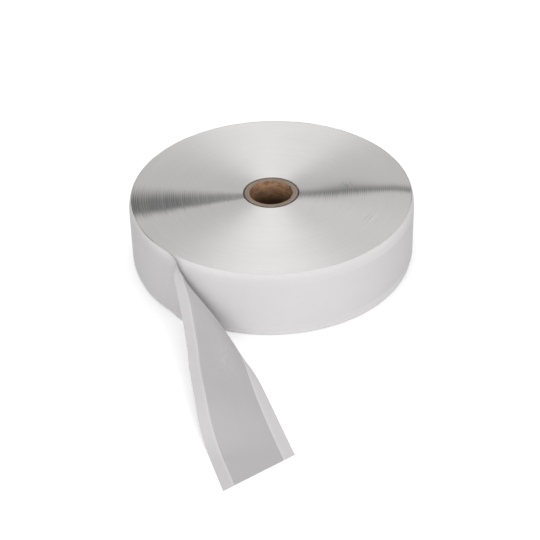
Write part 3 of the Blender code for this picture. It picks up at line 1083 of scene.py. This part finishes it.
# %% Shape of a ply
CORE_SETBACK = 0.0005
LINER_THICKNESS = 0.0009
BOARD_THICKNESS = 0.0018
BOARD_COUNT = 4
COVER_THICKNESS = 0.0009
CORE_STEPS = 192
EDGE_ROUNDING = 0.00015
SEAM_LEAD = 0.150
SEAM_WIDTH = 0.0012
SEAM_DEPTH = 0.00025
PLY_SEED = 11


def seam_depth(angle, height):
    """Depth of the groove where the liner's strip meets itself: a bell curve across a helix."""
    turns = height / SEAM_LEAD - angle / (2 * math.pi)
    apart = np.abs(turns - np.round(turns)) * SEAM_LEAD
    return SEAM_DEPTH * np.exp(-((apart / (SEAM_WIDTH / 2)) ** 2))


def ply_section(inner, outer, half_height, rows):
    """Radii and heights of a ply's section: up the inside, over, down the outside and under."""
    shoulder = half_height - EDGE_ROUNDING
    inside = np.linspace(-shoulder, shoulder, rows)
    over_radii = (inner + EDGE_ROUNDING, (inner + outer) / 2, outer - EDGE_ROUNDING)
    over = np.array([(radius, half_height) for radius in over_radii])
    outside = np.array([(outer, shoulder), (outer, -shoulder)])
    under = over[::-1] * (1, -1)
    section = np.concatenate((np.stack((np.full(rows, inner), inside), -1), over, outside, under))
    return section[:, 0], section[:, 1]


def make_ply(name, inner, outer, rows, rough, draws, finish, seam=False):
    """Spin the section, sink its cut edges by noise, and cut the seam into the bore."""
    half_height = HALF_WIDTH - CORE_SETBACK
    radii, heights = ply_section(inner, outer, half_height, rows)
    angle = (np.arange(CORE_STEPS) * 2 * math.pi / CORE_STEPS)[:, None]
    radius = np.broadcast_to(radii, (CORE_STEPS, len(radii))).copy()
    if seam:
        radius[:, :rows] += seam_depth(angle, heights[None, :rows])
    waves = np.arange(1, 24)
    sizes = draws.normal(size=(2, len(waves))) * rough / np.sqrt(waves)
    edge = np.cos(angle * waves) @ sizes[0] + np.sin(angle * waves) @ sizes[1]
    cut = np.abs(heights) > half_height - 2 * EDGE_ROUNDING
    z = heights + np.where(cut, np.sign(heights), 0) * -np.abs(edge)[:, None]
    points = np.stack((radius * np.cos(angle), radius * np.sin(angle), z), -1)
    return ring_piece(name, points, finish)


print("seam climbs", SEAM_LEAD * 1000, "mm a turn")

# %% [markdown]
# Both board finishes are paper. Kraft liner is brown, with darker and lighter fibres along its
# strip, glue stains and a few orange patches. On the bore the fibres run round the roll, so the
# noise is squeezed along the height. A wave texture could draw fibres too, but in lines that are too
# regular for paper. The bore is painted darker with its depth: painted shade, where less light gets
# in. The cut edges of the liner and the cover are darker too; on the cover this is painted shade of
# the narrow gap between the core and the pack. The grey board is duller, and its cut face is rough
# and furry. Its four plies differ in tone, so that they show as rings.

# %% Materials of the core
CUT_FACE = HALF_WIDTH - CORE_SETBACK
# Heights over which the painted shade deep in the bore fades out, and the share of brightness below
# them
PAINTED_BORE_SHADE_HEIGHTS = (0.010, 0.054)
PAINTED_BORE_SHADE_LEVEL = 0.20
BOARD_TONES = (1.05, 0.84, 1.16, 0.55)
LINER_DARK = (0.24, 0.142, 0.08, 1)
LINER_LIGHT = (0.47, 0.29, 0.178, 1)
LINER_RUST = (0.56, 0.30, 0.145, 1)
RUST_SHARE = 0.45
BOARD_COLOUR = (0.30, 0.242, 0.196)


def liner_finish(name, dark_edge_share):
    """Brown paper, with painted shade deep in the bore and a cut edge darker by the second argument.
    """
    material, start, shader = start_finish(name)
    place = start.node("ShaderNodeTexCoord", {}, {}, "Object")
    height = start.node("ShaderNodeSeparateXYZ", {}, {0: place}, "Z")
    squeezed = start.node("ShaderNodeMapping", {}, {"Vector": place, "Scale": (1, 1, 1.6)})
    fibres = noise(start, squeezed, 420.0, detail=5.0, roughness=0.7)
    stains = noise(start, squeezed, 100.0, detail=4.0, roughness=0.65)
    rust = step_up(noise(start, place, 38.0, detail=2.0), 0.40, 0.65)
    colour = blend_colours(step_up(stains, 0.36, 0.64), LINER_DARK, LINER_LIGHT)
    colour = blend_colours(rust * RUST_SHARE, colour, LINER_RUST)
    # Painted shade: the bore gets darker with its depth
    painted_bore_shade = step_up(height, *PAINTED_BORE_SHADE_HEIGHTS) * (1 - PAINTED_BORE_SHADE_LEVEL) + PAINTED_BORE_SHADE_LEVEL
    # Darker cut edge; on the cover it is painted shade of the gap between the core and the pack
    dark_cut_edge = step_up(height, CUT_FACE - 0.0004, CUT_FACE - 0.0001) * dark_edge_share
    colour = scaled_colour(colour, (0.82 + fibres * 0.56) * painted_bore_shade * (1.0 - dark_cut_edge))
    connect(shader, {"Base Color": colour, "Normal": bumped(fibres, 0.0002)})
    shader.inputs["Roughness"].default_value = 0.85
    return material


def board_finish(name, tone):
    """Grey board, whose tone is 1 for the middle one of its shades."""
    material, start, shader = start_finish(name)
    place, x, y, radius = object_place(start)
    layers = noise(start, vector_of(x * 30, y * 30, radius * 2600), 1.0, detail=2.0)
    fur = noise(start, place, 1400.0, detail=4.0, roughness=0.7)
    clouds = noise(start, place, 90.0, detail=3.0)
    shade = 1.0 + (layers - 0.5) * 0.5 + (fur - 0.5) * 0.4 + (clouds - 0.5) * 0.5
    colour = scaled_colour(BOARD_COLOUR, shade * tone)
    connect(shader, {"Base Color": colour, "Normal": bumped(fur + layers, 0.0002)})
    shader.inputs["Roughness"].default_value = 0.92
    return material


liner_paper = liner_finish("brown_liner_paper", 0.4)
# On the cover the darker cut edge is painted shade of the gap between the core and the pack
cover_paper = liner_finish("brown_cover_paper", 0.92)
boards = [board_finish(f"grey_board_{n + 1}", tone) for n, tone in enumerate(BOARD_TONES)]
print("core finishes are ready")

# %% The six plies
LINER_ROWS = 90
PLAIN_ROWS = 6
CUT_ROUGHNESS = 0.00006

draws = np.random.default_rng(PLY_SEED)
plies = [("liner", "core_liner_ply", LINER_THICKNESS, liner_paper, "kraft_liner")]
for n in range(1, BOARD_COUNT + 1):
    plies.append((f"board_{n}", f"core_board_ply_{n}", BOARD_THICKNESS, boards[n - 1], "grey_board"))
plies.append(("cover", "core_cover_ply", COVER_THICKNESS, cover_paper, "kraft_liner"))

inner = CORE_BORE_RADIUS
for name, node, thickness, finish, slot in plies:
    is_liner = name == "liner"
    rows = LINER_ROWS if is_liner else PLAIN_ROWS
    outer = inner + thickness + (0 if name == "cover" else 0.6 * FIT_GAP)
    ply = make_ply(f"core_{name}", inner, outer, rows, CUT_ROUGHNESS, draws, finish, seam=is_liner)
    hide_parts(node)
    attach(ply, "roll")
    inner += thickness + FIT_GAP
print("core radius", round(inner - FIT_GAP, 4))

# %% [markdown]
# ## The starter tab
#
# A strip of paper tape holds the first turn on the core. It is out of sight between the core and the
# pack, and its solid already has the right shape, so it only gets a paper finish.

# %% Material of the starter tab
TAB_COLOUR = (0.75, 0.72, 0.62)


def tab_finish():
    """Pale paper with fine fibres."""
    material, start, shader = start_finish("tab_paper")
    place = start.node("ShaderNodeTexCoord", {}, {}, "Object")
    fibres = noise(start, place, 800.0, detail=4.0, roughness=0.7)
    colour = scaled_colour(TAB_COLOUR, 0.9 + fibres * 0.2)
    connect(shader, {"Base Color": colour, "Normal": bumped(fibres, 0.0001)})
    shader.inputs["Roughness"].default_value = 0.7
    return material


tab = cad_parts["starter_tab"]
tab.data.materials.clear()
tab.data.materials.append(tab_finish())
print("tab has", len(tab.data.polygons), "faces")
